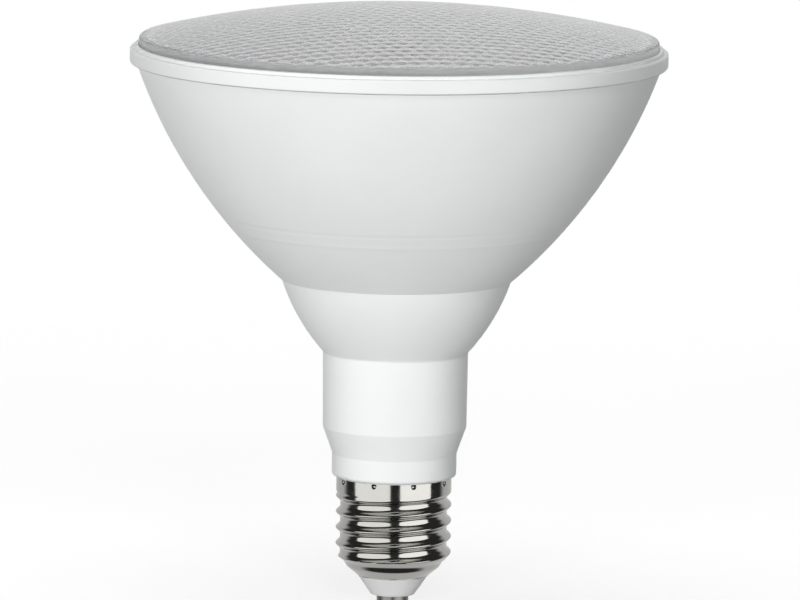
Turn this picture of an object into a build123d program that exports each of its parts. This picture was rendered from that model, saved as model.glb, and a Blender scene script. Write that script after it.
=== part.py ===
from build123d import *
import math
import os

# Reflector-shaped light-emitting-diode lamp with an Edison screw cap, in millimetres.
# The origin is the middle of the centre contact's end face. +Z runs up the lamp's axis to the lens.

# Heights along the axis, from the contact up
contact_height = 2.0
insulator_height = 4.5
shell_length = 22.6
shell_top_gap = 0.2
collar_height = 5.25
taper_height = 6.05
neck_height = 17.05
bowl_height = 16.65
cup_height = 48.7
rim_height = 3.3
rim_lip_height = 0.75
lens_edge_height = 1.7
dome_rise = 7.0

# Housing: one white moulding from the collar to the rim
collar_radius = 14.1
collar_edge = 0.8
neck_foot_radius = 16.25
neck_head_radius = 16.4
neck_edge = 0.8
bowl_radius = 26.0
bowl_bulge = 1.0
cup_ledge = 0.25
cup_bulge = 3.75
cup_edge = 0.35
housing_wall = 1.8
spigot_length = 13.0
spigot_wall = 1.6
rail_thickness = 1.2
rail_reach = 2.4
rail_foot = 1.0
rib_count = 4
rib_thickness = 1.6
rib_reach = 5.0
rib_height = 6.0

# Rim ring and lens
rim_radius = 60.5
rim_overhang = 1.45
rim_edge = 0.5
rim_shelf = 1.05
rim_lip = 0.75
rim_lip_edge = 0.25
tongue_depth = 3.0
tongue_wall = 1.4
lens_fit = 0.25
lens_seat_depth = 1.3
lens_wall = 2.0
lens_edge = 1.6

# Screw shell, pressed from thin sheet
thread_radius = 13.1
thread_depth = 1.0
thread_pitch = 25.4 / 7
first_crest = 1.75
thread_runout = 1.3
shell_sheet = 0.35
skirt_radius = 13.15
skirt_height = 3.3
shoulder_reach = 2.3
shoulder_step = 2.1
shoulder_edge = 2.0
waist_reach = 0.75
waist_step = 1.3
flare_step = 1.5
lip_radius = 8.3
lip_width = 0.4
crimp_count = 9
crimp_radius = 0.8
crimp_depth = 0.22
crimp_drop = 0.75
crimp_turn = 10.0

# Cap insulator and centre contact
insulator_set_in = 0.3
insulator_foot_radius = 4.9
insulator_edge = 0.8
insulator_inside = 3.4
insulator_flange = 1.8
contact_radius = 3.6
contact_edge = 0.7
stem_radius = 1.5
stem_length = 7.2

# Heat sink cup and light board
sink_sheet = 1.5
plate_depth = 12.0
plate_thickness = 2.5
sink_depth = 26.0
board_thickness = 1.6
board_margin = 3.0
wire_hole_radius = 4.0
chip_width = 2.8
chip_length = 3.5
chip_height = 0.8
chip_wall = 0.35
chip_recess = 0.2
first_ring_radius = 13.0
ring_step = 13.5
ring_count = 3
first_ring_count = 6
red_every = 3
screw_count = 3
screw_circle = 33.25
screw_radius = 1.5
screw_length = 6.0
head_radius = 2.75
head_height = 2.0
slot_width = 0.7
slot_depth = 1.1
connector_width = 6.6
connector_length = 5.5
connector_height = 3.4
connector_offset = 5.2
entry_depth = 3.0

# Driver board and its components
driver_thickness = 1.6
driver_height = 39.0
tongue_height = 24.0
tongue_gap = 1.0
core_width = 13.0
core_height = 12.0
core_depth = 5.0
core_leg = 4.0
core_yoke = 2.0
winding_depth = 10.0
core_lift = 3.0
output_radius = 5.0
output_length = 16.0
output_drop = 2.0
output_groove = 0.4
input_width = 10.0
input_depth = 5.0
input_height = 11.0
input_lift = 4.0
choke_radius = 4.0
choke_height = 9.0
choke_flange = 1.4
choke_waist = 3.2
bridge_width = 4.7
bridge_depth = 2.4
bridge_height = 3.9
control_width = 3.9
control_depth = 1.5
control_height = 4.9
fuse_radius = 1.6
fuse_length = 9.0
component_gap = 2.0
wire_radius = 0.65
wire_spacing = 2.5
wire_bend = 3.0
wire_height = 1.7

# Clearances between pieces
running_fit = 0.15
sheet_fit = 0.1
slot_fit = 0.1
seat_gap = 0.2

# Levels worked out from the heights
insulator_level = contact_height
shell_level = insulator_level + insulator_height
shell_top = shell_level + shell_length
bend_level = shell_level + shoulder_step
waist_level = bend_level + waist_step
shoulder_top = waist_level + flare_step
skirt_level = shell_top - skirt_height
collar_level = shell_top + shell_top_gap
taper_level = collar_level + collar_height
neck_level = taper_level + taper_height
bowl_level = neck_level + neck_height
cup_level = bowl_level + bowl_height
rim_level = cup_level + cup_height
rim_top = rim_level + rim_height
rim_lip_top = rim_top + rim_lip_height
lens_seat = rim_top - lens_seat_depth
dome_level = rim_lip_top + lens_edge_height
lens_top = dome_level + dome_rise
plate_level = rim_level - plate_depth
sink_level = plate_level - sink_depth
board_level = plate_level + board_thickness

# Sizes worked out from the fits
cup_radius = rim_radius - rim_overhang
root_radius = thread_radius - thread_depth
spigot_radius = root_radius - shell_sheet - running_fit
spigot_bore = spigot_radius - spigot_wall
seat_radius = skirt_radius - shell_sheet - sheet_fit
neck_bore = neck_foot_radius - housing_wall
seat_bore = rim_radius - rim_shelf - rim_lip
lens_radius = seat_bore - lens_fit
insulator_radius = lip_radius - insulator_set_in
insulator_neck = lip_radius - lip_width - sheet_fit
stem_bore = stem_radius + sheet_fit
foot_top = neck_level + rail_foot
driver_top = foot_top + driver_height
tongue_level = foot_top - tongue_height
driver_face = driver_thickness / 2
core_level = foot_top + core_lift
upper_level = core_level + core_height + component_gap
lower_level = foot_top - component_gap
wire_level = board_level + wire_height


def turned(section):
    # Solid of revolution from a section with radius along X and height along Y.
    reach = 2 * (lens_top + rim_radius)
    right_half = Pos(reach / 2, 0) * Rectangle(reach, 2 * reach)
    return revolve(Plane.XZ * (section & right_half), Axis.Z)


def mirrored(edges):
    # Whole section, both sides of the axis, from the edges of its right half.
    half = make_face(edges)
    return half + mirror(half, Plane.YZ)


def band(inner, outer, low, high):
    # Rectangle of a section, from the inner to the outer radius.
    return Pos((inner + outer) / 2, (low + high) / 2) * Rectangle(outer - inner, high - low)


def slab(low, high):
    # Everything of a section between two levels, both sides of the axis.
    return Pos(0, (low + high) / 2) * Rectangle(4 * rim_radius, high - low)


def bowed(foot, head, bulge):
    # Arc from a foot up to a head, bowed away from the axis.
    return SagittaArc(foot, head, -bulge)


def inset(section, amount):
    # The same section, a wall's thickness further in.
    return offset(section, -amount, kind=Kind.INTERSECTION)


def cup_arc_radius(level, depth):
    # Radius of the cup's arc at a level, or of the surface a given depth inside it.
    foot = Vector(bowl_radius + cup_ledge, cup_level)
    head = Vector(cup_radius, rim_level)
    chord = head - foot
    arc_radius = (chord.length**2 / 4 + cup_bulge**2) / (2 * cup_bulge)
    inward = Vector(-chord.Y, chord.X) / chord.length
    centre = (foot + head) / 2 + inward * (arc_radius - cup_bulge)
    return centre.X + math.sqrt((arc_radius - depth) ** 2 - (level - centre.Y) ** 2)


def rounded(section, radius, level, edge):
    # Rounds the corner at this radius and level, on both sides of the axis.
    near = section.vertices().group_by(lambda v: math.dist((abs(v.X), v.Y), (radius, level)))
    return fillet(near[0], edge)


def lamp_section(extension):
    # Filled section of the housing's outside. The extension carries the cup's line on past its mouth.
    bowl_foot = (neck_head_radius, bowl_level)
    bowl_head = (bowl_radius, cup_level)
    cup_foot = (bowl_radius + cup_ledge, cup_level)
    cup_head = (cup_radius, rim_level)
    cup_arc = bowed(cup_foot, cup_head, cup_bulge)
    slope = cup_arc % 1
    mouth = Vector(cup_head) + slope * (extension / slope.Y)
    edges = [
        Line((0, collar_level), (collar_radius, collar_level)),
        Line((collar_radius, collar_level), (collar_radius, taper_level)),
        Line((collar_radius, taper_level), (neck_foot_radius, neck_level)),
        Line((neck_foot_radius, neck_level), bowl_foot),
        bowed(bowl_foot, bowl_head, bowl_bulge),
        Line(bowl_head, cup_foot),
        cup_arc,
        Line(cup_head, mouth),
        Line(mouth, (0, mouth.Y)),
        Line((0, mouth.Y), (0, collar_level)),
    ]
    return mirrored(edges)


def housing():
    lamp = lamp_section(housing_wall)
    lamp = rounded(lamp, collar_radius, collar_level, collar_edge)
    lamp = rounded(lamp, collar_radius, taper_level, neck_edge)
    lamp = rounded(lamp, neck_foot_radius, neck_level, neck_edge)
    lamp = rounded(lamp, neck_head_radius, bowl_level, neck_edge)
    lamp = rounded(lamp, bowl_radius + cup_ledge, cup_level, cup_edge)
    lamp = lamp & slab(0, rim_level)
    shell = lamp - inset(lamp_section(3 * housing_wall), housing_wall)
    spigot_end = collar_level - spigot_length
    shell += band(0, seat_radius, skirt_level, collar_level)
    shell += band(0, spigot_radius, spigot_end, skirt_level)
    shell -= band(0, spigot_bore, spigot_end, collar_level + housing_wall)
    filled = turned(lamp)
    return turned(shell) + (board_rails() & filled) + (sink_ribs() & filled)


def board_rails():
    # Two upright slots in the neck that take the driver board's edges, closed by a foot below.
    inner = neck_bore - rail_reach
    slot = driver_thickness + 2 * slot_fit
    length = housing_wall + rail_reach
    rail = Box(length, slot + 2 * rail_thickness, neck_height, align=(Align.MIN, Align.CENTER, Align.MIN))
    groove = Pos(0, 0, rail_foot) * Box(
        length, slot, neck_height, align=(Align.MIN, Align.CENTER, Align.MIN)
    )
    right = Pos(inner, 0, neck_level) * (rail - groove)
    return right + mirror(right, Plane.YZ)


def sink_ribs():
    # Upright ribs inside the cup that carry the heat sink's lower edge on their flat tops.
    outer = cup_arc_radius(sink_level, 0)
    inner = outer - housing_wall - rib_reach
    rib = Pos(inner, 0, sink_level) * Box(
        outer - inner, rib_thickness, rib_height, align=(Align.MIN, Align.CENTER, Align.MAX)
    )
    return Part() + PolarLocations(0, rib_count, 45) * rib


def rim_ring():
    # Ring with an outer shelf, a low lip round the lens, a seat inside it and a tongue into the cup.
    mouth = cup_arc_radius(rim_level - tongue_depth, housing_wall) - running_fit
    bore = mouth - tongue_wall
    section = band(bore, rim_radius, rim_level, rim_top)
    section = fillet(section.vertices().group_by(Axis.X)[-1], rim_edge)
    lip = band(bore, rim_radius - rim_shelf, rim_level, rim_lip_top)
    section += rounded(lip, rim_radius - rim_shelf, rim_lip_top, rim_lip_edge)
    section -= band(bore, seat_bore, lens_seat, rim_lip_top)
    section += band(bore, mouth, rim_level - tongue_depth, rim_level)
    return turned(section)


def lens_section(wall):
    # Filled section of the lens, less a wall all round.
    edges = [
        Line((0, lens_seat), (lens_radius, lens_seat)),
        Line((lens_radius, lens_seat), (lens_radius, dome_level)),
        RadiusArc((lens_radius, dome_level), (0, lens_top), -dome_radius()),
        Line((0, lens_top), (0, lens_seat)),
    ]
    section = mirrored(edges)
    if wall:
        return inset(section, wall)
    return rounded(section, lens_radius, dome_level, lens_edge)


def dome_radius():
    return (lens_radius**2 + dome_rise**2) / (2 * dome_rise)


def lens():
    section = lens_section(0) - lens_section(lens_wall)
    section -= band(0, lens_radius - lens_wall, lens_seat, lens_seat + lens_wall)
    return turned(section)


def heat_sink_cup():
    # Pressed cup, mouth down, with its flat floor towards the lens.
    fit = housing_wall + seat_gap
    outer = inset(lamp_section(3 * housing_wall), fit)
    inner = inset(lamp_section(3 * housing_wall), fit + sink_sheet)
    floor = plate_level - plate_thickness
    cup = turned((outer & slab(sink_level, plate_level)) - (inner & slab(0, floor)))
    screw_holes = PolarLocations(screw_circle, screw_count) * Circle(screw_radius + sheet_fit)
    holes = Circle(wire_hole_radius) + screw_holes
    return cup - Pos(0, 0, floor) * extrude(holes, plate_thickness)


def board_radius():
    return cup_arc_radius(plate_level, housing_wall + seat_gap) - board_margin


def light_board():
    board = Circle(board_radius()) - Circle(wire_hole_radius)
    board -= PolarLocations(screw_circle, screw_count) * Circle(screw_radius + seat_gap)
    return Pos(0, 0, plate_level) * extrude(board, board_thickness)


def chip():
    # Light chip: a low package with a shallow lit recess in its top.
    body = Box(chip_length, chip_width, chip_height, align=(Align.CENTER, Align.CENTER, Align.MIN))
    lit = Box(chip_length - 2 * chip_wall, chip_width - 2 * chip_wall, 2 * chip_recess)
    return body - Pos(0, 0, chip_height) * lit


def chip_places(red):
    # Places of the red or of the white chips, ring by ring.
    places = []
    for ring in range(ring_count):
        count = first_ring_count * (ring + 1)
        radius = first_ring_radius + ring_step * ring
        for index, place in enumerate(PolarLocations(radius, count, 90)):
            if (index % red_every == 0) == red:
                places.append(Pos(0, 0, board_level) * place)
    return places


def light_chips(red):
    return Compound(children=[place * chip() for place in chip_places(red)])


def board_screws():
    head = Cylinder(head_radius, head_height, align=(Align.CENTER, Align.CENTER, Align.MIN))
    head = fillet(head.edges().group_by(Axis.Z)[-1], head_height / 3)
    head -= Pos(0, 0, head_height) * Box(2 * head_radius, slot_width, 2 * slot_depth)
    head += Cylinder(screw_radius, screw_length, align=(Align.CENTER, Align.CENTER, Align.MAX))
    places = PolarLocations(screw_circle, screw_count)
    return Compound(children=[Pos(0, 0, board_level) * place * head for place in places])


def wire_connector():
    # Two-way push-in block. The leads enter the side that faces the wire hole.
    block = Box(
        connector_width, connector_length, connector_height, align=(Align.CENTER, Align.MIN, Align.MIN)
    )
    block = fillet(block.edges().group_by(Axis.Z)[-1], connector_height / 8)
    block = Pos(0, connector_offset, board_level) * block
    for side in (-1, 1):
        entry = Plane((side * wire_spacing / 2, connector_offset, wire_level), z_dir=(0, 1, 0))
        block -= extrude(entry * Circle(wire_radius + sheet_fit), entry_depth)
    return block


def lead(points, bends):
    # Insulated wire along straight runs joined by arcs.
    route = FilletPolyline(*points, radius=bends)
    return sweep(Plane(route @ 0, z_dir=route % 0) * Circle(wire_radius), path=route)


def board_lead(side):
    x = side * wire_spacing / 2
    end = connector_offset + entry_depth
    return lead([(x, 0, driver_top), (x, 0, wire_level), (x, end, wire_level)], wire_bend)


def driver_board():
    half_width = neck_bore - seat_gap
    tongue_half = spigot_bore - tongue_gap
    low = Pos(0, (tongue_level + foot_top) / 2) * Rectangle(2 * tongue_half, foot_top - tongue_level)
    high = Pos(0, (foot_top + driver_top) / 2) * Rectangle(2 * half_width, driver_height)
    return extrude(Plane.XZ * (low + high), driver_thickness / 2, both=True)


def transformer_core():
    # Ferrite frame with a middle leg, upright on the board's front.
    window = (core_width - core_leg - 2 * core_yoke) / 2
    frame = Rectangle(core_width, core_height)
    for side in (-1, 1):
        frame -= Pos(side * (core_leg + window) / 2, 0) * Rectangle(window, core_height - 2 * core_yoke)
    middle = -driver_face - winding_depth / 2
    return Pos(0, middle, core_level + core_height / 2) * extrude(
        Plane.XZ * frame, core_depth / 2, both=True
    )


def transformer_winding():
    # Wound bobbin round the core's middle leg. It stands on the board.
    window = (core_width - core_leg - 2 * core_yoke) / 2
    width = core_leg + 2 * window - 2 * sheet_fit
    height = core_height - 2 * core_yoke - 2 * sheet_fit
    coil = Box(width, winding_depth, height)
    coil = fillet(coil.edges().filter_by(Axis.Z), core_leg / 4)
    coil -= Box(core_leg + 2 * sheet_fit, core_depth + 2 * sheet_fit, core_height)
    return Pos(0, -driver_face - winding_depth / 2, core_level + core_height / 2) * coil


def output_capacitor():
    # Can with a rolled groove near its sealed end, lying along the board's back.
    can = band(0, output_radius, 0, output_length)
    can = fillet(can.vertices().group_by(Axis.X)[-1], output_radius / 8)
    can -= Pos(output_radius, output_length / 8) * Circle(output_groove)
    level = driver_top - output_drop - output_length
    return Pos(0, driver_face + output_radius + sheet_fit, level) * turned(can)


def input_capacitor():
    block = Box(input_width, input_depth, input_height, align=(Align.CENTER, Align.MIN, Align.MIN))
    block = fillet(block.edges().filter_by(Axis.Z).group_by(Axis.Y)[-1], input_depth / 6)
    return Pos(0, driver_face, foot_top + input_lift) * block


def choke():
    # Wound drum with two flanges, standing on the board's front.
    drum = band(0, choke_radius, 0, choke_height)
    drum -= band(choke_waist, choke_radius, choke_flange, choke_height - choke_flange)
    stand = Plane((0, -driver_face, upper_level + choke_radius), z_dir=(0, -1, 0))
    return stand * turned(drum)


def bridge_rectifier():
    body = Box(bridge_width, bridge_depth, bridge_height, align=(Align.CENTER, Align.MIN, Align.MAX))
    body = chamfer(body.edges().group_by(Axis.Y)[-1], bridge_depth / 6)
    return Pos(0, driver_face, lower_level) * body


def control_chip():
    body = Box(control_width, control_depth, control_height, align=(Align.CENTER, Align.MAX, Align.MAX))
    body = chamfer(body.edges().group_by(Axis.Y)[0], control_depth / 6)
    return Pos(0, -driver_face, lower_level) * body


def fuse_resistor():
    body = band(0, fuse_radius, 0, fuse_length)
    body = fillet(body.vertices().group_by(Axis.X)[-1], fuse_radius / 2)
    level = lower_level - control_height - component_gap - fuse_length
    return Pos(0, -driver_face - fuse_radius - sheet_fit, level) * turned(body)


def contact_lead():
    top = Plane((0, 0, tongue_level), z_dir=(0, 0, -1))
    return extrude(top * Circle(wire_radius), tongue_level - contact_height - stem_length)


def shell_lead():
    x = (spigot_bore - tongue_gap) / 2
    low = tongue_level - wire_bend - wire_radius
    end = root_radius - shell_sheet - seat_gap
    return lead([(x, 0, tongue_level), (x, 0, low), (end, 0, low)], wire_bend / 2)


def thread_rod(radius, first_turn):
    # A round single-start thread: a level disc carried up a helix of half the thread's depth.
    start = shell_level + first_crest + first_turn * thread_pitch
    throw = thread_depth / 2
    path = Helix(thread_pitch, skirt_level + throw - start, throw, center=(0, 0, start))
    disc = Pos(throw, 0, start) * Circle(radius - throw)
    return sweep(disc, path=path, normal=(0, 0, 1))


def shoulder_section():
    # Filled section of the shell's lower end, from the turned-in lip up past the first turn.
    bend = (lip_radius + shoulder_reach, bend_level)
    waist = (bend[0] + waist_reach, waist_level)
    flare = (thread_radius + sheet_fit, shoulder_top)
    head = (thread_radius + sheet_fit, shoulder_top + thread_pitch)
    edges = [
        Line((0, shell_level), (lip_radius, shell_level)),
        Line((lip_radius, shell_level), bend),
        Line(bend, waist),
        Line(waist, flare),
        Line(flare, head),
        Line(head, (0, head[1])),
        Line((0, head[1]), (0, shell_level)),
    ]
    return rounded(mirrored(edges), *bend, shoulder_edge)


def skirt_section(sheet):
    # Plain top of the shell, running out to the thread's root below, less a sheet's thickness.
    runout = skirt_level - thread_runout
    edges = [
        Line((0, runout), (root_radius - sheet, runout)),
        Line((root_radius - sheet, runout), (skirt_radius - sheet, skirt_level)),
        Line((skirt_radius - sheet, skirt_level), (skirt_radius - sheet, shell_top)),
        Line((skirt_radius - sheet, shell_top), (0, shell_top)),
        Line((0, shell_top), (0, runout)),
    ]
    return make_face(edges)


def screw_shell():
    # Thin sheet with the same helical wave inside and outside, a plain skirt and a turned-in lip.
    shoulder = shoulder_section()
    below = band(0, 2 * thread_radius, shell_level - 2 * thread_pitch, shoulder_top)
    shell = thread_rod(thread_radius, -1) - turned(below - shoulder) + turned(skirt_section(0))
    bore = root_radius - shell_sheet - sheet_fit
    root_bore = band(0, bore, shell_level, shoulder_top + thread_pitch)
    shell -= turned(inset(shoulder, shell_sheet) & root_bore)
    shell -= thread_rod(thread_radius - shell_sheet, 1)
    shell -= turned(skirt_section(shell_sheet))
    shell -= turned(band(0, lip_radius - lip_width, shell_level, shoulder_top))
    level = shell_top - crimp_drop
    ball_circle = skirt_radius + crimp_radius - crimp_depth
    for place in PolarLocations(ball_circle, crimp_count, crimp_turn):
        shell -= Pos(0, 0, level) * place * Sphere(crimp_radius)
    return shell


def cap_insulator():
    # Moulded cone under the shell's lip, with a neck through it and a flange inside that holds it.
    top = shell_level + insulator_inside
    edges = [
        Line((0, insulator_level), (insulator_foot_radius, insulator_level)),
        Line((insulator_foot_radius, insulator_level), (insulator_radius, shell_level)),
        Line((insulator_radius, shell_level), (insulator_neck, shell_level)),
        Line((insulator_neck, shell_level), (insulator_neck, top)),
        Line((insulator_neck, top), (0, top)),
        Line((0, top), (0, insulator_level)),
    ]
    section = rounded(make_face(edges), insulator_foot_radius, insulator_level, insulator_edge)
    section += band(0, lip_radius + lip_width, top - insulator_flange, top)
    section -= band(0, stem_bore, insulator_level, top)
    return turned(section)


def centre_contact():
    # Rivet: a flat, round-edged head under the insulator and a stem through it.
    head = band(0, contact_radius, 0, contact_height)
    head = rounded(head, contact_radius, 0, contact_edge)
    return turned(head + band(0, stem_radius, contact_height, contact_height + stem_length))


os.makedirs("parts", exist_ok=True)
nodes = {
    "lens": lens(),
    "rim_ring": rim_ring(),
    "housing": housing(),
    "heat_sink_cup": heat_sink_cup(),
    "light_board": light_board(),
    "white_chips": light_chips(False),
    "red_chips": light_chips(True),
    "board_screws": board_screws(),
    "wire_connector": wire_connector(),
    "positive_lead": board_lead(1),
    "negative_lead": board_lead(-1),
    "driver_board": driver_board(),
    "transformer_core": transformer_core(),
    "transformer_winding": transformer_winding(),
    "output_capacitor": output_capacitor(),
    "input_capacitor": input_capacitor(),
    "bridge_rectifier": bridge_rectifier(),
    "control_chip": control_chip(),
    "choke": choke(),
    "fuse_resistor": fuse_resistor(),
    "contact_lead": contact_lead(),
    "shell_lead": shell_lead(),
    "screw_shell": screw_shell(),
    "cap_insulator": cap_insulator(),
    "centre_contact": centre_contact(),
}
for name, shape in nodes.items():
    export_step(shape, f"parts/{name}.step")
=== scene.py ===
import bpy
import math
from mathutils import Matrix, Vector


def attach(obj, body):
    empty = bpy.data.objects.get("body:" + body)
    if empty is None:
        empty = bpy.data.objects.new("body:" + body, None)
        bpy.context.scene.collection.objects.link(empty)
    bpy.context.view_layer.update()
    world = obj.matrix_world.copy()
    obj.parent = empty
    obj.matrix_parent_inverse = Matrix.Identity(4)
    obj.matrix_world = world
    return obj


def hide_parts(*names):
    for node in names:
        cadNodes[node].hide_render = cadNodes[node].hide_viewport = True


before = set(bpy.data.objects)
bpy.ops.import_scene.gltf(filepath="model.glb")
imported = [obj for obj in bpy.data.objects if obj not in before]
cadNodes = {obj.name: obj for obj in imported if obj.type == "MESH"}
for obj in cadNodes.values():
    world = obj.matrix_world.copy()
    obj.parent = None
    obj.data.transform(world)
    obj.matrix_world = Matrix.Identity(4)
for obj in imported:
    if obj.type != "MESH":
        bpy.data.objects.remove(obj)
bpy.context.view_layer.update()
scene = bpy.context.scene
mm = 0.001
fullTurn = 2 * math.pi
print("frame loaded,", len(cadNodes), "nodes")


def linear(tone):  # 0-255 screen tone to scene colour
    return tuple(((c / 255 + 0.055) / 1.055) ** 2.4 for c in tone) + (1.0,)


# node helpers
def addNode(tree, kind, feeds=None, **settings):  # feeds are sockets to link or plain values
    node = tree.nodes.new(kind)
    for key, value in settings.items():
        setattr(node, key, value)
    for key, value in (feeds or {}).items():
        if isinstance(value, bpy.types.NodeSocket):
            tree.links.new(value, node.inputs[key])
        else:
            node.inputs[key].default_value = value
    return node


def calc(tree, operation, *values):
    return addNode(tree, "ShaderNodeMath", dict(enumerate(values)), operation=operation).outputs[0]


def vec(tree, operation, *values):
    node = addNode(tree, "ShaderNodeVectorMath", dict(enumerate(values)), operation=operation)
    return node.outputs["Value" if operation in ("LENGTH", "DOT_PRODUCT") else "Vector"]


def split(tree, vector):  # its x, y and z
    return addNode(tree, "ShaderNodeSeparateXYZ", {0: vector}).outputs


def join(tree, x=0.0, y=0.0, z=0.0):
    return addNode(tree, "ShaderNodeCombineXYZ", {0: x, 1: y, 2: z}).outputs[0]


def ramp(tree, value, low, high, start=0.0, end=1.0):  # soft step between two values
    feeds = {0: value, 1: low, 2: high, 3: start, 4: end}
    return addNode(tree, "ShaderNodeMapRange", feeds, interpolation_type="SMOOTHSTEP").outputs[0]


def blendTone(tree, amount, first, second):
    return addNode(tree, "ShaderNodeMix", {0: amount, 6: first, 7: second}, data_type="RGBA").outputs[2]


def noise(tree, place, scale, detail):
    return addNode(tree, "ShaderNodeTexNoise", {"Vector": place, "Scale": scale, "Detail": detail}).outputs[0]


def objectPlace(tree):
    return addNode(tree, "ShaderNodeTexCoord").outputs["Object"]


def fromAxis(tree, place):  # distance from the lamp's axis
    return vec(tree, "LENGTH", vec(tree, "MULTIPLY", place, (1, 1, 0)))


def named(tree, label):
    node = addNode(tree, "GeometryNodeInputNamedAttribute", {"Name": label}, data_type="FLOAT")
    return node.outputs["Attribute"]


# materials: a cloudy tone and polish with fine grain
texture = {"cloudDetail": 3.0, "grainDetail": 2.0, "cloudSpan": (0.3, 0.7)}


def makeMaterial(look):
    material = bpy.data.materials.new(look["name"])
    material.use_nodes = True
    tree = material.node_tree
    shader = tree.nodes["Principled BSDF"]
    place = objectPlace(tree)
    cloud = noise(tree, place, look["cloud"], texture["cloudDetail"])
    height = noise(tree, place, look["grain"], texture["grainDetail"])
    tone = blendTone(tree, cloud, linear(look["dark"]), linear(look["light"]))
    tree.links.new(tone, shader.inputs["Base Color"])
    shine = ramp(tree, cloud, *texture["cloudSpan"], *look["rough"])
    tree.links.new(shine, shader.inputs["Roughness"])
    for ring, share in look.get("rings", {}).items():  # faint turned lines at these heights
        off = calc(tree, "ABSOLUTE", calc(tree, "SUBTRACT", split(tree, place)[2], ring))
        height = calc(tree, "ADD", height, ramp(tree, off, 0.0, look["ringWidth"], share, 0.0))
    bump = addNode(tree, "ShaderNodeBump", {"Height": height, "Strength": 1.0, "Distance": look["depth"]})
    tree.links.new(bump.outputs[0], shader.inputs["Normal"])
    for key, value in look["fixed"].items():
        shader.inputs[key].default_value = value
    return material


def tintWhere(material, amount, tone):  # another tone where the amount is 1
    tree = material.node_tree
    tint = tree.nodes["Principled BSDF"].inputs["Base Color"]
    tree.links.new(blendTone(tree, amount, tint.links[0].from_socket, linear(tone)), tint)


def dress(look, name):  # new material on a CAD node, which keeps its shape
    mesh = cadNodes[name].data
    mesh.materials.clear()
    mesh.materials.append(makeMaterial(look))


# pieces
def startTree(name, inputs):
    tree = bpy.data.node_groups.new(name, "GeometryNodeTree")
    tree.interface.new_socket("Geometry", in_out="INPUT", socket_type="NodeSocketGeometry")
    for label in inputs:
        tree.interface.new_socket(label, in_out="INPUT", socket_type="NodeSocketFloat")
    tree.interface.new_socket("Finish", in_out="INPUT", socket_type="NodeSocketMaterial")
    tree.interface.new_socket("Geometry", in_out="OUTPUT", socket_type="NodeSocketGeometry")
    return tree, tree.nodes.new("NodeGroupInput").outputs


def endTree(tree, geometry, finish):
    plain = addNode(tree, "GeometryNodeRealizeInstances", {0: geometry}).outputs[0]
    coated = addNode(tree, "GeometryNodeSetMaterial", {"Geometry": plain, "Material": finish}).outputs[0]
    addNode(tree, "NodeGroupOutput", {0: coated})


def shapedBy(tree, piece, values, material):  # runs a node tree over a piece and keeps the plain mesh
    modifier = piece.modifiers.new("rule", "NODES")
    modifier.node_group = tree
    values["Finish"] = material
    for item in tree.interface.items_tree:
        if item.in_out == "INPUT" and item.name in values:
            modifier[item.identifier] = values[item.name]
    scene.view_layers[0].update()
    ready = piece.evaluated_get(bpy.context.evaluated_depsgraph_get())
    mesh = bpy.data.meshes.new_from_object(ready)
    piece.modifiers.remove(modifier)
    piece.data = mesh
    mesh.materials.clear()
    mesh.materials.append(material)


def newPiece(name, points, faces, marks):  # marks are point attributes for the node trees
    mesh = bpy.data.meshes.new(name)
    mesh.from_pydata(points, [], faces)
    for label, values in marks.items():
        mesh.attributes.new(label, "FLOAT", "POINT").data.foreach_set("value", values)
    piece = bpy.data.objects.new(name, mesh)
    scene.collection.objects.link(piece)
    return piece


def shade(piece, angle):  # smooth, with sharp edges above the angle
    mesh = piece.data
    mesh.shade_smooth()
    mesh.set_sharp_from_angle(angle=math.radians(angle))


def loop(radius, level, count):
    turns = [fullTurn * i / count for i in range(count)]
    return [(radius * math.cos(t), radius * math.sin(t), level) for t in turns]


def skin(faces, first, second, count):  # quads from one loop of points to the next
    for i in range(count):
        j = (i + 1) % count
        faces.append((first + i, first + j, second + j, second + i))


def turnedSkin(outline, count):  # closed outline of radius and level in mm, turned about the axis
    points, faces = [], []
    for radius, level in outline:
        points += loop(radius * mm, level * mm, count)
    for row in range(len(outline)):
        skin(faces, row * count, (row + 1) % len(outline) * count, count)
    return points, faces


# camera
view = {  # metres and degrees, the camera's own focus and sensor in mm
    "distance": 1.8, "rise": 8.3, "roll": 0.72, "target": (0.00087, 0.0, 0.06932),
    "focus": 358.9, "sensor": 36, "clip": 20, "bounces": 40,
}
rise, roll = math.radians(view["rise"]), math.radians(view["roll"])
back = Vector((0, -math.cos(rise), math.sin(rise)))
side, head = Vector((1, 0, 0)), Vector((0, math.sin(rise), math.cos(rise)))
right = side * math.cos(roll) + head * math.sin(roll)
upward = head * math.cos(roll) - side * math.sin(roll)
spot = Vector(view["target"]) + back * view["distance"]
camera = bpy.data.objects.new("camera", bpy.data.cameras.new("camera"))
camera.matrix_world = Matrix.Translation(spot) @ Matrix((right, upward, back)).transposed().to_4x4()
camera.data.sensor_width = view["sensor"]
camera.data.lens = view["focus"]
camera.data.clip_end = view["clip"]
scene.collection.objects.link(camera)
scene.camera = camera
for kind in ("max", "glossy", "transmission"):  # light crosses the patterned lens many times
    setattr(scene.cycles, kind + "_bounces", view["bounces"])

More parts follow.
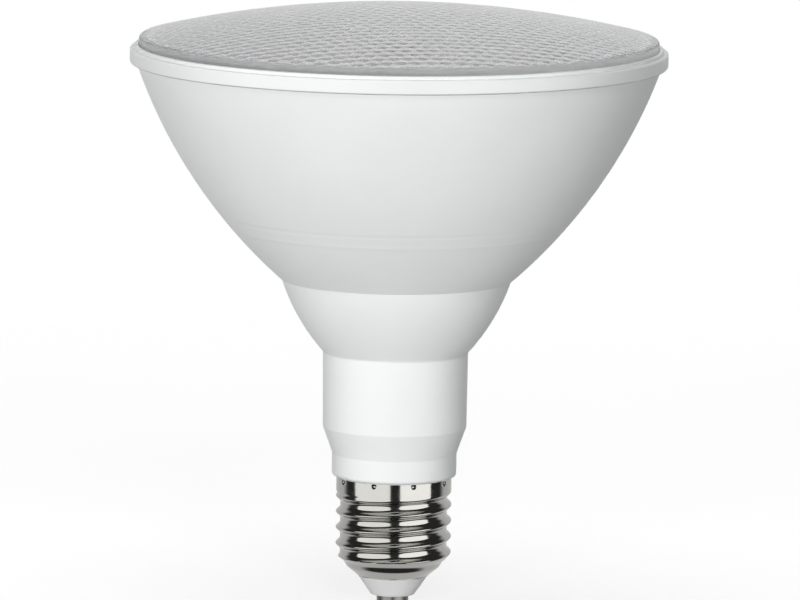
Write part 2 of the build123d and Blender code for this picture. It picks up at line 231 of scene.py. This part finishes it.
# studio lamps: six panels light the plastic from all round, two more only show as reflections, for the metal
panels = {  # degrees, metres and watts
    "panelSide": {"turn": -90, "tilt": 0, "size": (1.2, 1.2), "level": 0.3, "away": 1.2, "power": 5.5},
    "panelLeft": {"turn": -24, "tilt": -2, "size": (0.6, 0.6), "level": 0.2, "away": 1.7, "power": 13.3},
    "panelFront": {"turn": 20, "tilt": -2, "size": (0.5, 0.4), "level": 0.15, "away": 1.7, "power": 10.8},
    "panelOver": {"turn": 8, "tilt": -32, "size": (0.7, 0.5), "level": 1.0, "away": 1.4, "power": 4.6},
    "panelTop": {"turn": 0, "tilt": -90, "size": (1.2, 1.0), "level": 1.5, "away": 0.1, "power": 8.0},
    "panelBack": {"turn": 172, "tilt": 0, "size": (1.2, 1.2), "level": 0.25, "away": 1.5, "power": 21.0},
    "mirrorLeft": {"turn": -45, "tilt": 0, "size": (1.84, 1.4), "level": -0.1, "away": 1.15, "power": 8.5},
    "mirrorRight": {"turn": 46, "tilt": 0, "size": (1.52, 1.4), "level": -0.1, "away": 1.15, "power": 8.3},
}
mirrorPanels = []
for name, panel in panels.items():
    lamp = bpy.data.lights.new(name, "AREA")
    lamp.shape = "ELLIPSE"
    lamp.size, lamp.size_y = panel["size"]
    lamp.energy = panel["power"]
    light = bpy.data.objects.new(name, lamp)
    turn = math.radians(panel["turn"])
    light.location = (panel["away"] * math.sin(turn), -panel["away"] * math.cos(turn), panel["level"])
    light.rotation_euler = (math.pi / 2 + math.radians(panel["tilt"]), 0, turn)
    light.visible_glossy = name.startswith("mirror")
    light.visible_diffuse = not light.visible_glossy
    light.visible_transmission = False  # or the lens would show them
    scene.collection.objects.link(light)
    if light.visible_glossy:
        mirrorPanels.append(light)

# room: dark in front and pale behind for the metal, pale all round for the lens, white for the camera
room = {
    "dark": 0.032, "back": 0.62, "backSpan": (0.3, 0.6), "lean": -0.35,
    "around": 0.46, "ceiling": 1.05, "ceilingSpan": (0.35, 0.8), "fill": 0.03,
}
world = bpy.data.worlds.new("room")
world.use_nodes = True
world.cycles.sampling_method = "NONE"
scene.world = world
tree = world.node_tree
aim = split(tree, addNode(tree, "ShaderNodeTexCoord").outputs["Generated"])
path = addNode(tree, "ShaderNodeLightPath").outputs
behind = calc(tree, "MULTIPLY_ADD", aim[2], room["lean"], aim[1])  # reaches further forward underneath
glow = calc(tree, "ADD", room["dark"], ramp(tree, behind, *room["backSpan"], 0.0, room["back"]))
above = ramp(tree, aim[2], *room["ceilingSpan"], room["around"], room["ceiling"])
glow = calc(tree, "MAXIMUM", glow, calc(tree, "MULTIPLY", above, path["Is Transmission Ray"]))
fill = calc(tree, "MULTIPLY_ADD", path["Is Diffuse Ray"], room["fill"] - 1, 1.0)  # little for the plastic
glow = calc(tree, "MAXIMUM", calc(tree, "MULTIPLY", glow, fill), path["Is Camera Ray"])
tree.links.new(glow, tree.nodes["Background"].inputs["Strength"])
tree.nodes["Background"].inputs["Color"].default_value = (1, 1, 1, 1)

# floor: pale paper that fades out into the white
ground = {"radius": 0.6, "around": 96, "level": -0.05 * mm, "glow": 0.74, "tone": 0.36, "fade": (0.3, 0.55)}
floorMesh = bpy.data.meshes.new("floor")
floorPoints = loop(ground["radius"], ground["level"], ground["around"])
floorMesh.from_pydata(floorPoints, [], [tuple(range(ground["around"]))])
floor = bpy.data.objects.new("floor", floorMesh)
floor.visible_glossy = False
scene.collection.objects.link(floor)
paper = bpy.data.materials.new("paper")
paper.use_nodes = True
tree = paper.node_tree
tree.nodes.remove(tree.nodes["Principled BSDF"])
matte = addNode(tree, "ShaderNodeBsdfDiffuse", {"Color": (ground["tone"],) * 3 + (1,)})
seen = addNode(tree, "ShaderNodeLightPath").outputs["Is Camera Ray"]
lift = addNode(tree, "ShaderNodeEmission", {"Strength": calc(tree, "MULTIPLY", seen, ground["glow"])})
lit = addNode(tree, "ShaderNodeAddShader", {0: matte.outputs[0], 1: lift.outputs[0]})
far = vec(tree, "LENGTH", objectPlace(tree))
gone = addNode(tree, "ShaderNodeBsdfTransparent")
fade = addNode(tree, "ShaderNodeMixShader", {
    0: ramp(tree, far, *ground["fade"]), 1: lit.outputs[0], 2: gone.outputs[0],
})
tree.links.new(fade.outputs[0], tree.nodes["Material Output"].inputs["Surface"])
floorMesh.materials.append(paper)
print("camera, lights and floor set")

# housing and cap insulator: satin white mouldings
housingLook = {
    "name": "whitePlastic", "dark": (233, 236, 235), "light": (240, 243, 242), "cloud": 60.0, "grain": 2500.0,
    "rough": (0.42, 0.5), "depth": 0.02 * mm, "rings": {0.0861: 2.0, 0.0889: -2.0}, "ringWidth": 0.7 * mm,
    "fixed": {"IOR": 1.38},
}
insulatorLook = {
    "name": "insulatorPlastic", "dark": (240, 241, 240), "light": (247, 248, 247), "cloud": 200.0,
    "grain": 3000.0, "rough": (0.45, 0.55), "depth": 0.02 * mm, "fixed": {"IOR": 1.5},
}
dress(housingLook, "housing")
dress(insulatorLook, "cap_insulator")

# rim ring: turned band round the lens, with painted shade on its lower edge where it meets the housing
band = {  # mm and degrees
    "around": 240, "radius": 60.5, "edge": 0.5, "level": 123.0, "top": 126.3, "bore": 54.47, "tongue": 55.87,
    "foot": 120.0, "lip": 59.45, "lipEdge": 0.25, "lipTop": 127.05, "seatBore": 58.7, "seat": 125.0,
    "steps": 8, "hold": 0.06, "sharp": 35,
    # painted shade on the lower round edge, standing in for the shadow in the gap above the housing
    "paintedShadeSpan": (0.14, 0.34), "paintedShadeSoft": 0.05, "paintedShadeTone": (176, 178, 178),
}
rimLook = {
    "name": "rimPlastic", "dark": (229, 232, 231), "light": (235, 238, 237), "cloud": 80.0, "grain": 2500.0,
    "rough": (0.3, 0.38), "depth": 0.01 * mm, "fixed": {"IOR": 1.46},
}


def quarterRound(radius, level, edge, start):  # a row close to each end keeps the flats flat
    steps, hold = band["steps"], band["hold"]
    turns = [math.radians(start + 90 * i / steps) for i in range(steps + 1)]
    bend = [(radius + edge * math.cos(t), level + edge * math.sin(t)) for t in turns]
    before = bend[0][0] + hold * math.sin(turns[0]), bend[0][1] - hold * math.cos(turns[0])
    after = bend[-1][0] - hold * math.sin(turns[-1]), bend[-1][1] + hold * math.cos(turns[-1])
    return [before] + bend + [after]


def buildRim():
    edge, small = band["edge"], band["lipEdge"]
    outline = [(band["bore"], band["foot"]), (band["tongue"], band["foot"]), (band["tongue"], band["level"])]
    outline += quarterRound(band["radius"] - edge, band["level"] + edge, edge, -90)
    outline += quarterRound(band["radius"] - edge, band["top"] - edge, edge, 0)
    outline.append((band["lip"], band["top"]))
    outline += quarterRound(band["lip"] - small, band["lipTop"] - small, small, 0)
    outline += [(band["seatBore"], band["lipTop"]), (band["seatBore"], band["seat"])]
    outline.append((band["bore"], band["seat"]))
    points, faces = turnedSkin(outline, band["around"])
    return newPiece("rimRing", points, faces, {})


def rimFinish():
    material = makeMaterial(rimLook)
    tree = material.node_tree
    place = objectPlace(tree)
    # painted shade: the lower round edge is darkened, for the shadow in the gap between ring and housing
    climb = calc(tree, "SUBTRACT", split(tree, place)[2], band["level"] * mm)
    low = ramp(tree, climb, band["paintedShadeSpan"][0] * mm, band["paintedShadeSpan"][1] * mm, 1.0, 0.0)
    start, soft = (band["radius"] - band["edge"]) * mm, band["paintedShadeSoft"] * mm
    outer = ramp(tree, fromAxis(tree, place), start - soft, start + soft)
    tintWhere(material, calc(tree, "MULTIPLY", low, outer), band["paintedShadeTone"])
    return material


rimRing = buildRim()
rimRing.data.materials.append(rimFinish())
shade(rimRing, band["sharp"])
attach(rimRing, "root")
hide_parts("rim_ring")
print("rim ring built,", len(rimRing.data.polygons), "faces")

# inside pieces: dark and light tone, roughness, fixed shader values
innerTexture = {"cloud": 260.0, "grain": 3200.0, "depth": 0.015 * mm}
innerLooks = {
    "heat_sink_cup": ((168, 170, 172), (196, 198, 200), (0.32, 0.45), {"Metallic": 1.0}),
    "light_board": ((132, 132, 133), (144, 144, 145), (0.35, 0.45), {}),
    "white_chips": ((226, 220, 196), (240, 234, 212), (0.3, 0.4), {}),
    "red_chips": ((206, 190, 180), (220, 204, 194), (0.3, 0.4), {}),
    "board_screws": ((150, 150, 150), (188, 188, 186), (0.22, 0.35), {"Metallic": 1.0}),
    "wire_connector": ((206, 206, 202), (222, 222, 218), (0.4, 0.5), {}),
    "positive_lead": ((176, 112, 104), (190, 126, 118), (0.38, 0.5), {}),
    "negative_lead": ((116, 116, 118), (130, 130, 132), (0.38, 0.5), {}),
    "driver_board": ((30, 92, 58), (44, 116, 74), (0.35, 0.5), {}),
    "transformer_core": ((44, 44, 46), (66, 66, 68), (0.5, 0.65), {}),
    "transformer_winding": ((196, 158, 60), (220, 184, 84), (0.3, 0.42), {}),
    "output_capacitor": ((30, 34, 62), (44, 50, 84), (0.28, 0.4), {}),
    "input_capacitor": ((176, 128, 44), (200, 152, 60), (0.3, 0.45), {}),
    "bridge_rectifier": ((26, 26, 27), (42, 42, 43), (0.45, 0.6), {}),
    "control_chip": ((24, 24, 25), (40, 40, 41), (0.45, 0.6), {}),
    "choke": ((104, 66, 40), (134, 88, 56), (0.4, 0.55), {}),
    "fuse_resistor": ((66, 108, 120), (88, 132, 144), (0.35, 0.5), {}),
    "contact_lead": ((206, 206, 204), (224, 224, 222), (0.38, 0.5), {}),
    "shell_lead": ((206, 206, 204), (224, 224, 222), (0.38, 0.5), {}),
}
for name, (dark, light, rough, fixed) in innerLooks.items():
    look = {"name": name + "Finish", "dark": dark, "light": light, "rough": rough, "fixed": fixed}
    dress({**look, **innerTexture}, name)

# centre contact: dull metal
contactLook = {
    "name": "contactMetal", "dark": (128, 126, 122), "light": (150, 148, 144), "cloud": 500.0, "grain": 2200.0,
    "rough": (0.28, 0.38), "depth": 0.004 * mm, "fixed": {"Metallic": 1.0},
}
dress(contactLook, "centre_contact")
print("CAD nodes dressed")

# screw shell: turned sheet, its thread and crimps laid on by rule
shell = {  # mm and degrees
    "around": 270, "lip": (7.9, 8.2, 6.5), "bend": (10.55, 8.55), "waist": (11.35, 9.9), "flare": (14.2, 12.0),
    "lipRound": 0.08, "lipHem": 0.15, "topHem": 0.05, "topRow": 0.04,
    "step": 0.085, "easing": 10, "insideStep": 4,
    "skirt": 13.05, "skirtLevel": 26.0, "runout": 1.7, "top": 29.1, "sheet": 0.35,
    "root": 12.1, "depth": 1.0, "peak": 2.0, "pitch": 25.4 / 7, "crest": 19.14, "soft": 0.3,
    "crimps": 9, "crimpTurn": 10, "crimpLevel": 28.55, "crimpSize": 0.8, "crimpDepth": 0.35, "sharp": 40,
}
nickelLook = {
    "name": "nickel", "dark": (184, 183, 178), "light": (194, 193, 188), "cloud": 400.0, "grain": 1800.0,
    "rough": (0.09, 0.14), "depth": 0.002 * mm, "fixed": {"Metallic": 1.0},
}


def shoulderRadius(knots, level):  # limit of the radius, on straight lines between the knots
    for (lowRadius, lowLevel), (highRadius, highLevel) in zip(knots, knots[1:]):
        if lowLevel <= level < highLevel:
            return lowRadius + (highRadius - lowRadius) * (level - lowLevel) / (highLevel - lowLevel)
    return knots[-1][0]


def shellOutline():  # radius, level and inward share, outside going up and inside coming down
    lipIn, lipOut, low = shell["lip"]
    knots = [(lipOut, low + shell["lipHem"]), shell["bend"], shell["waist"], shell["flare"]]
    lip = [(lipIn, low), ((lipIn + lipOut) / 2, low)]
    lip += [(lipOut - shell["lipRound"], low), (lipOut, low + shell["lipRound"])]
    wall = []
    level = low + shell["lipHem"]
    while level < shell["top"] - shell["topHem"]:
        wall.append((shoulderRadius(knots, level), level))
        level += shell["step"]
    for turn in range(shell["easing"]):  # eases the corners where the shoulder bends
        eased = [(a[0] + 2 * b[0] + c[0]) / 4 for a, b, c in zip(wall, wall[1:], wall[2:])]
        wall[1:-1] = [(radius, level) for radius, (_, level) in zip(eased, wall[1:-1])]
    top = [(knots[-1][0], shell["top"] - shell["topRow"]), (knots[-1][0], shell["top"])]
    inside = (lip[-1:] + wall)[::shell["insideStep"]] + top
    return [(r, z, 0.0) for r, z in lip + wall + top] + [(r, z, 1.0) for r, z in reversed(inside)]


def buildShell():
    outline = shellOutline()
    points, faces = turnedSkin([(radius, level) for radius, level, _ in outline], shell["around"])
    inward = [share for _, _, share in outline for i in range(shell["around"])]
    return newPiece("screwShell", points, faces, {"inward": inward})


def shellTree():
    labels = ["Root", "Depth", "Peak", "Pitch", "Crest", "Skirt", "Skirt Level", "Runout", "Sheet", "Soft"]
    labels += ["Crimps", "Crimp Turn", "Crimp Level", "Crimp Size", "Crimp Depth"]
    tree, given = startTree("edisonThread", labels)
    place = addNode(tree, "GeometryNodeInputPosition").outputs[0]
    x, y, z = split(tree, place)
    angle = calc(tree, "ARCTAN2", y, x)
    limit = fromAxis(tree, place)
    # thread wave, run out into the skirt
    climb = calc(tree, "DIVIDE", calc(tree, "SUBTRACT", z, given["Crest"]), given["Pitch"])
    phase = calc(tree, "SUBTRACT", angle, calc(tree, "MULTIPLY", climb, fullTurn))
    wave = calc(tree, "MULTIPLY_ADD", calc(tree, "COSINE", phase), 0.5, 0.5)
    thread = calc(tree, "MULTIPLY_ADD", calc(tree, "POWER", wave, given["Peak"]), given["Depth"], given["Root"])
    runStart = calc(tree, "SUBTRACT", given["Skirt Level"], given["Runout"])
    blend = ramp(tree, z, runStart, given["Skirt Level"])
    body = addNode(tree, "ShaderNodeMix", {0: blend, 2: thread, 3: given["Skirt"]}).outputs[0]
    radius = calc(tree, "SMOOTH_MIN", body, limit, given["Soft"])
    # crimps punched round the skirt
    share = calc(tree, "DIVIDE", fullTurn, given["Crimps"])
    turned = calc(tree, "WRAP", calc(tree, "SUBTRACT", angle, given["Crimp Turn"]), share, 0.0)
    fromMiddle = calc(tree, "SUBTRACT", turned, calc(tree, "MULTIPLY", share, 0.5))
    across = calc(tree, "MULTIPLY", fromMiddle, given["Skirt"])
    off = vec(tree, "LENGTH", join(tree, across, calc(tree, "SUBTRACT", z, given["Crimp Level"])))
    dent = calc(tree, "MULTIPLY", ramp(tree, off, given["Crimp Size"], 0.0), given["Crimp Depth"])
    radius = calc(tree, "SUBTRACT", radius, dent)
    # inside of the sheet
    radius = calc(tree, "SUBTRACT", radius, calc(tree, "MULTIPLY", named(tree, "inward"), given["Sheet"]))
    ratio = calc(tree, "DIVIDE", radius, limit)
    spot = vec(tree, "MULTIPLY", place, join(tree, ratio, ratio, 1.0))
    moved = addNode(tree, "GeometryNodeSetPosition", {"Geometry": given["Geometry"], "Position": spot})
    endTree(tree, moved.outputs[0], given["Finish"])
    return tree


screwShell = buildShell()
shapedBy(shellTree(), screwShell, {
    "Root": shell["root"] * mm, "Depth": shell["depth"] * mm, "Peak": shell["peak"],
    "Pitch": shell["pitch"] * mm, "Crest": shell["crest"] * mm, "Skirt": shell["skirt"] * mm,
    "Skirt Level": shell["skirtLevel"] * mm, "Runout": shell["runout"] * mm, "Sheet": shell["sheet"] * mm,
    "Soft": shell["soft"] * mm, "Crimps": float(shell["crimps"]),
    "Crimp Turn": math.radians(shell["crimpTurn"]) + math.pi / shell["crimps"],
    "Crimp Level": shell["crimpLevel"] * mm, "Crimp Size": shell["crimpSize"] * mm,
    "Crimp Depth": shell["crimpDepth"] * mm,
}, makeMaterial(nickelLook))
shade(screwShell, shell["sharp"])
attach(screwShell, "root")
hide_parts("screw_shell")
print("screw shell built,", len(screwShell.data.polygons), "faces")

# lens: clear dome, smooth outside, small round lenses pressed into its inside
lens = {  # mm and degrees
    "radius": 58.45, "wall": 2.0, "seat": 125.0, "dome": 128.75, "top": 135.75, "skirt": 1.4, "bevel": 0.1,
    "edge": 0.6, "edgeSteps": 6, "rings": 126,
    "outerRings": (0.95, 0.9, 0.82, 0.72, 0.6, 0.48, 0.36, 0.24, 0.12, 0.04),
    "pitch": 3.2, "relief": -0.42, "turn": -6.0, "sharp": 38,
    # the outer edge is tinted grey, painted shade for the darker inside seen through the wall
    "haze": (57.7, 58.3, 0.3), "edgeShadeSpan": (58.0, 58.4), "edgeShadeTone": (208, 208, 209),
}
lensLook = {
    "name": "clearLens", "dark": (246, 246, 248), "light": (252, 252, 253), "cloud": 90.0, "grain": 900.0,
    "rough": (0.02, 0.05), "depth": 0.001 * mm, "fixed": {"IOR": 1.49, "Transmission Weight": 1.0},
}


def ballRadius():
    rise = lens["top"] - lens["dome"]
    return (lens["radius"] ** 2 + rise ** 2) / (2 * rise)


def domeLevel(radius, drop):  # height of the dome, or of the face a wall's thickness below it
    return lens["top"] - ballRadius() + math.sqrt((ballRadius() - drop) ** 2 - radius ** 2)


def innerFace(reach, points, faces):  # even triangles, in rings of six more points each
    count = lens["rings"]
    points.append((0, 0, domeLevel(0, lens["wall"]) * mm))
    for ring in range(1, count + 1):
        radius = reach * ring / count
        points += loop(radius * mm, domeLevel(radius, lens["wall"]) * mm, 6 * ring)

    def at(ring, step):
        return 1 + 3 * ring * (ring - 1) + step % (6 * ring) if ring else 0

    for ring in range(1, count + 1):
        for sector in range(6):
            for step in range(ring):
                outer = at(ring, sector * ring + step), at(ring, sector * ring + step + 1)
                inner = at(ring - 1, sector * (ring - 1) + step)
                faces.append((outer[1], outer[0], inner))
                if step < ring - 1:
                    faces.append((at(ring - 1, sector * (ring - 1) + step + 1), outer[1], inner))


def outerOutline(reach):  # down the inside of the edge, round it and up to the middle of the dome
    rim, edge, bevel, seat, steps = (lens[key] for key in ("radius", "edge", "bevel", "seat", "edgeSteps"))
    ball = ballRadius()
    swing = math.asin((rim - edge) / (ball - edge))
    middle = lens["top"] - ball + (ball - edge) * math.cos(swing)
    outline = [(reach, seat + lens["skirt"]), (reach, seat + bevel), (reach + bevel, seat)]
    outline += [(rim - bevel, seat), (rim, seat + bevel), (rim, middle)]
    for step in range(1, steps + 1):
        bend = (math.pi / 2 - swing) * step / steps
        outline.append((rim - edge + edge * math.cos(bend), middle + edge * math.sin(bend)))
    return outline + [(rim * share, domeLevel(rim * share, 0)) for share in lens["outerRings"]]


def buildLens():
    reach = lens["radius"] - lens["wall"]
    points, faces = [], []
    innerFace(reach, points, faces)
    pressed = [1.0] * len(points)
    around = 6 * lens["rings"]
    last = len(points) - around
    for radius, level in outerOutline(reach):
        new = len(points)
        points += loop(radius * mm, level * mm, around)
        skin(faces, last, new, around)
        last = new
    points.append((0, 0, lens["top"] * mm))
    faces += [(last + i, last + (i + 1) % around, len(points) - 1) for i in range(around)]
    pressed += [0.0] * (len(points) - len(pressed))
    return newPiece("lensDome", points, faces, {"pressed": pressed})


def lensTree():
    tree, given = startTree("lensletField", ["Pitch", "Relief", "Turn"])
    place = addNode(tree, "GeometryNodeInputPosition").outputs[0]
    spin = {"Vector": place, "Angle": given["Turn"]}
    turned = addNode(tree, "ShaderNodeVectorRotate", spin, rotation_type="Z_AXIS").outputs[0]
    tall = math.sqrt(3)  # height of a cell that holds two lenslets of the honeycomb
    cell = join(tree, given["Pitch"], calc(tree, "MULTIPLY", given["Pitch"], tall), 1.0)
    grid = vec(tree, "DIVIDE", turned, cell)
    near = []
    for shift in (0.0, 0.5):
        shifted = vec(tree, "SUBTRACT", grid, (shift, shift, 0))
        inCell = vec(tree, "WRAP", shifted, (0.5, 0.5, 0.5), (-0.5, -0.5, -0.5))
        span = vec(tree, "MULTIPLY", inCell, (1, tall, 0))
        near.append(vec(tree, "DOT_PRODUCT", span, span))
    swell = calc(tree, "MULTIPLY_ADD", calc(tree, "MINIMUM", *near), -3.0, 1.0)  # 0 at a cell's corners
    amount = calc(tree, "MULTIPLY", calc(tree, "MULTIPLY", swell, given["Relief"]), named(tree, "pressed"))
    down = join(tree, z=calc(tree, "MULTIPLY", amount, -1.0))
    moved = addNode(tree, "GeometryNodeSetPosition", {"Geometry": given["Geometry"], "Offset": down})
    endTree(tree, moved.outputs[0], given["Finish"])
    return tree


def lensFinish():
    material = makeMaterial(lensLook)
    tree = material.node_tree
    shader = tree.nodes["Principled BSDF"]
    spread = fromAxis(tree, objectPlace(tree))
    start, end, most = lens["haze"]
    haze = ramp(tree, spread, start * mm, end * mm, 0.0, most)  # moulded edge is duller
    polish = shader.inputs["Roughness"]
    tree.links.new(calc(tree, "ADD", polish.links[0].from_socket, haze), polish)
    start, end = lens["edgeShadeSpan"]
    tintWhere(material, ramp(tree, spread, start * mm, end * mm), lens["edgeShadeTone"])  # and greyer towards the edge, painted shade standing in for the darker inside seen through the wall
    through = addNode(tree, "ShaderNodeMixShader", {
        0: addNode(tree, "ShaderNodeLightPath").outputs["Is Shadow Ray"],  # lamps light what is behind it
        1: shader.outputs[0],
        2: addNode(tree, "ShaderNodeBsdfTransparent").outputs[0],
    })
    tree.links.new(through.outputs[0], tree.nodes["Material Output"].inputs["Surface"])
    return material


lensDome = buildLens()
shapedBy(lensTree(), lensDome, {
    "Pitch": lens["pitch"] * mm, "Relief": lens["relief"] * mm, "Turn": math.radians(lens["turn"]),
}, lensFinish())
shade(lensDome, lens["sharp"])
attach(lensDome, "root")
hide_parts("lens")
print("lens built,", len(lensDome.data.polygons), "faces")

glare = bpy.data.collections.new("glare")  # the metal's panels don't show in the lens
glare.objects.link(lensDome)
glare.collection_objects[0].light_linking.link_state = "EXCLUDE"
for light in mirrorPanels:
    light.light_linking.receiver_collection = glare

scene.view_settings.view_transform = "Standard"
